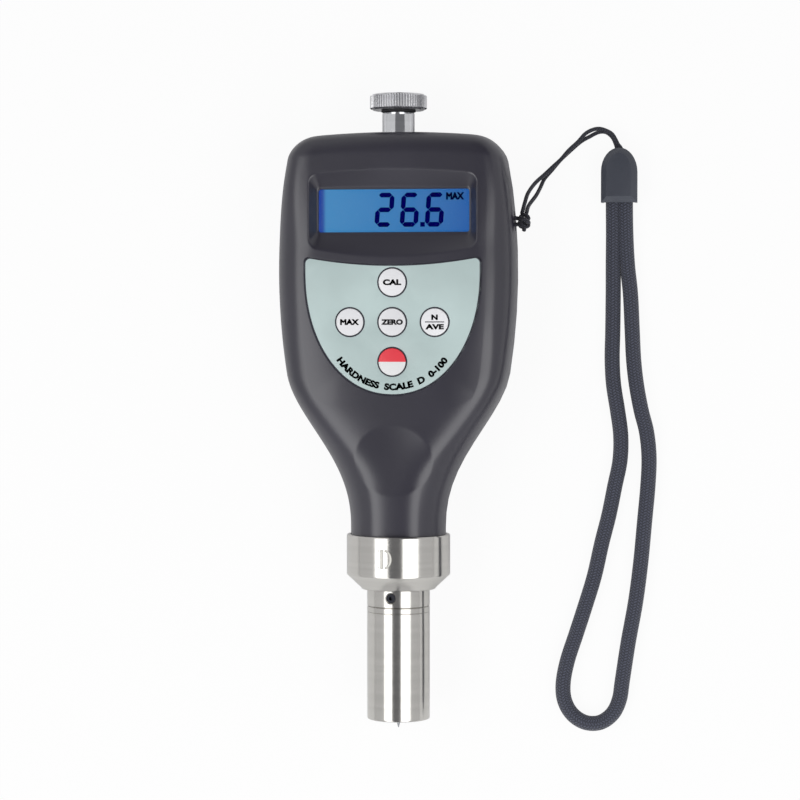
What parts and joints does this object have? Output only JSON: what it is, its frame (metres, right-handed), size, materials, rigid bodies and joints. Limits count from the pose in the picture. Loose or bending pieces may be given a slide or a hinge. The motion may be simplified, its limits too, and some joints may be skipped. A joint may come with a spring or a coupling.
{
  "type": "digital durometer",
  "caption": "Pocket digital hardness gauge: bottle-shaped case with backlit display and round keys, steel collar and presser foot with a sprung indenter, knurled thumb screw, wrist strap.",
  "frame": {"origin": "centre of the instrument's box without the strap, on the surface that it lies on", "axes": "+Z out of the display, +Y along the instrument from the presser foot to the thumb screw, +X to the right of the display"},
  "size_m": [0.1028, 0.1754, 0.0284],
  "materials": {
    "case": "fine satin moulding texture",
    "door": "fine satin moulding texture",
    "lens": "clear",
    "display_glass": "glossy",
    "backlight": "satin",
    "contact_rubber": "matt",
    "board": "solder mask",
    "chip": "matt",
    "inner_plastic": "satin",
    "frame_plastic": "satin",
    "screw_steel": "zinc plated",
    "panel": "printed film",
    "key": "satin",
    "key_power": "satin",
    "contact_metal": "nickel plated",
    "steel": "fine turned",
    "hard_steel": "ground",
    "black_steel": "black oxide",
    "brass": "turned",
    "spring": "drawn wire",
    "ferrite": "matt",
    "copper": "enamelled wire",
    "lead": "soft",
    "chrome": "polished",
    "knurl": "knurled, plated",
    "cell": "printed sleeve",
    "cord": "braided",
    "string": "twisted",
    "clip": "satin"
  },
  "bodies": {
    "housing": {"front_shell": "case", "rear_shell": "case", "lcd_window": "lens", "lcd_glass": "display_glass", "lcd_backlight": "backlight", "contact_strips": "contact_rubber", "display_frame": "frame_plastic", "main_board": "board", "board_chips": "chip", "sensor_socket": "inner_plastic", "board_fixings": "screw_steel", "case_fixings": "screw_steel", "keypad_panel": "panel", "key_domes": "contact_metal", "contact_plates": "contact_metal", "contact_springs": "contact_metal", "collar": "steel", "set_screw": "black_steel", "presser_foot": "steel", "guide_bush": "brass", "main_spring": "spring", "spring_adjuster": "brass", "coil_former": "inner_plastic", "coil_winding": "copper", "sensor_lead": "lead", "mount_post": "chrome", "post_nut": "screw_steel", "strap_pin": "screw_steel", "strap_knot": "string", "strap_clip": "clip", "strap_loop": "cord", "string_low": "string", "string_high": "string", "battery_1": "cell", "battery_2": "cell", "battery_3": "cell", "battery_4": "cell"},
    "plunger": {"spindle": "hard_steel", "indenter": "hard_steel", "sensor_core": "ferrite"},
    "door": {"battery_door": "door"},
    "washer": {"head_washer": "black_steel"},
    "screw": {"thumb_screw": "knurl"},
    "button_calibrate": {"key_calibrate": "key"},
    "button_maximum": {"key_maximum": "key"},
    "button_zero": {"key_zero": "key"},
    "button_average": {"key_average": "key"},
    "button_power": {"key_power": "key_power"}
  },
  "joints": [
    {"name": "indenter_slide", "type": "slide", "parent": "housing", "child": "plunger", "axis": [0, 1, 0], "range_m": [0, 0.0025], "stiffness_N_per_m": 17780, "deforming": ["main_spring"]},
    {"name": "calibrate_press", "type": "slide", "parent": "housing", "child": "button_calibrate", "axis": [0, 0, -1], "range_m": [0, 0.0005], "stiffness_N_per_m": 4000},
    {"name": "maximum_press", "type": "slide", "parent": "housing", "child": "button_maximum", "axis": [0, 0, -1], "range_m": [0, 0.0005], "stiffness_N_per_m": 4000},
    {"name": "zero_press", "type": "slide", "parent": "housing", "child": "button_zero", "axis": [0, 0, -1], "range_m": [0, 0.0005], "stiffness_N_per_m": 4000},
    {"name": "average_press", "type": "slide", "parent": "housing", "child": "button_average", "axis": [0, 0, -1], "range_m": [0, 0.0005], "stiffness_N_per_m": 4000},
    {"name": "power_press", "type": "slide", "parent": "housing", "child": "button_power", "axis": [0, 0, -1], "range_m": [0, 0.0005], "stiffness_N_per_m": 4000},
    {"name": "door_slide", "type": "slide", "parent": "housing", "child": "door", "axis": [0, 1, 0], "range_m": [0, 0.062]},
    {"name": "screw_lift", "type": "slide", "parent": "housing", "child": "washer", "axis": [0, 1, 0], "range_m": [0, 0.00281]},
    {"name": "screw_turn", "type": "hinge", "parent": "washer", "child": "screw", "pos_m": [0, 0.08255, 0.0142], "axis": [0, 1, 0], "range_deg": [0, 1440]}
  ],
  "couplings": [
    {"joint": "screw_lift", "follows": "screw_turn", "m_per_rad": 0.00011141}
  ]
}
